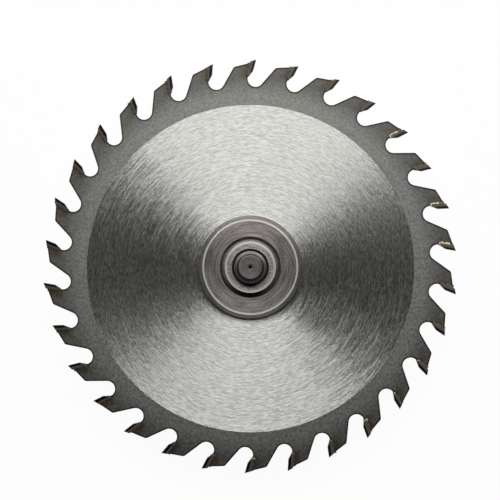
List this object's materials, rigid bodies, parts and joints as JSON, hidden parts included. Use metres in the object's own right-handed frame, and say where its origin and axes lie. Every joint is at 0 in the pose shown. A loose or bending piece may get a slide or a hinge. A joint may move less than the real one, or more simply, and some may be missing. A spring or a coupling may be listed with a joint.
{
  "type": "carbide-tipped circular saw blade on its spindle",
  "caption": "Carbide-tipped circular saw blade, clamped by a round nut between two flanges on a saw spindle with a bearing journal at the rear.",
  "frame": {"origin": "centre of the spindle's rear end face, where the part stands", "axes": "+Z along the spindle axis towards the nut and the front of the blade; seen from +Z the teeth cut clockwise"},
  "size_m": [0.1844, 0.185, 0.0328],
  "materials": {
    "plate_steel": "hardened plate, bright ground disc inside a matt grey rim",
    "carbide": "ground tungsten carbide, dark grey, browned at the braze",
    "flange_steel": "turned, satin, warm grey",
    "nut_steel": "turned, with bright chamfers",
    "spindle_steel": "turned, dark grey"
  },
  "bodies": {
    "root": {"blade_plate": "plate_steel", "tip_01": "carbide", "tip_02": "carbide", "tip_03": "carbide", "tip_04": "carbide", "tip_05": "carbide", "tip_06": "carbide", "tip_07": "carbide", "tip_08": "carbide", "tip_09": "carbide", "tip_10": "carbide", "tip_11": "carbide", "tip_12": "carbide", "tip_13": "carbide", "tip_14": "carbide", "tip_15": "carbide", "tip_16": "carbide", "tip_17": "carbide", "tip_18": "carbide", "tip_19": "carbide", "tip_20": "carbide", "tip_21": "carbide", "tip_22": "carbide", "tip_23": "carbide", "tip_24": "carbide", "tip_25": "carbide", "tip_26": "carbide", "tip_27": "carbide", "tip_28": "carbide", "tip_29": "carbide", "tip_30": "carbide", "outer_flange": "flange_steel", "inner_flange": "flange_steel", "clamp_nut": "nut_steel", "spindle": "spindle_steel"}
  },
  "joints": []
}
